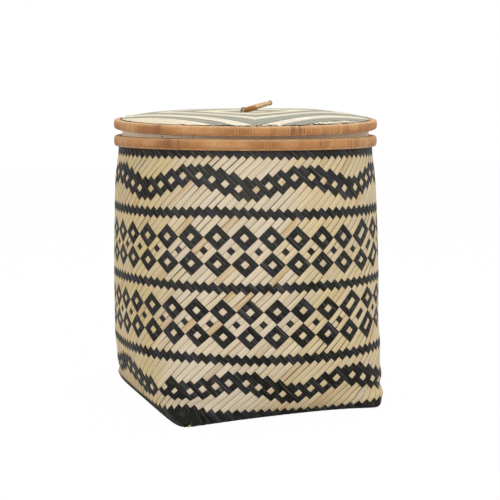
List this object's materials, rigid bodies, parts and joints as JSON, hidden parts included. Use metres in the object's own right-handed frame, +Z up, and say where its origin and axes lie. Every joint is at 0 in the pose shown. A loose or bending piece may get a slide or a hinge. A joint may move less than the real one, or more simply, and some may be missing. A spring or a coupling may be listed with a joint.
{
  "type": "laundry basket",
  "caption": "Tall plaited laundry basket with a square base, a round cane-bound mouth, a collar inside the rim, and a domed lid with a small cane ring handle.",
  "frame": {"origin": "middle of the base, on the surface that the basket stands on", "axes": "+Z is up through the mouth; the front panel of the square base faces -Y and its right-hand panel faces +X"},
  "size_m": [0.3996, 0.3998, 0.4547],
  "materials": {
    "plait": "split plant strip in pale straw and dyed black, plaited, satin with fine grain along the strip",
    "black_strip": "dyed black strip, satin",
    "hoop_cane": "split cane, unvarnished",
    "binding_cane": "fine orange-brown split cane, satin",
    "collar_wood": "thin bent wood strip, smooth and unvarnished",
    "peg_wood": "dark peg wood, unvarnished",
    "handle_cane": "olive-tan whole cane with dark specks, satin"
  },
  "bodies": {
    "basket": {"woven_body": "plait", "rim_outer_hoop": "hoop_cane", "rim_inner_hoop": "hoop_cane", "rim_binding_1": "binding_cane", "rim_binding_2": "binding_cane", "rim_binding_3": "binding_cane", "rim_binding_4": "binding_cane", "rim_binding_5": "binding_cane", "mouth_collar": "collar_wood", "collar_peg_1": "peg_wood", "collar_peg_2": "peg_wood", "collar_peg_3": "peg_wood", "collar_peg_4": "peg_wood"},
    "lid": {"woven_lid": "plait", "lid_outer_hoop": "hoop_cane", "lid_inner_hoop": "hoop_cane", "lid_binding_1": "binding_cane", "lid_binding_2": "binding_cane", "lid_binding_3": "binding_cane", "lid_binding_4": "binding_cane", "lid_binding_5": "binding_cane", "handle_tie_1": "black_strip", "handle_tie_2": "black_strip", "handle_tie_3": "black_strip"},
    "handle": {"handle_ring": "handle_cane", "handle_wrap": "binding_cane", "handle_end_band": "black_strip"}
  },
  "joints": [
    {"name": "lid_lift", "type": "slide", "parent": "basket", "child": "lid", "axis": [0, 0, 1], "range_m": [0, 0.3]},
    {"name": "handle_swing", "type": "hinge", "parent": "lid", "child": "handle", "pos_m": [-0.00336, 0.00016, 0.43988], "axis": [-0.3548, -0.9341, -0.0384], "range_deg": [-8, 150]}
  ]
}
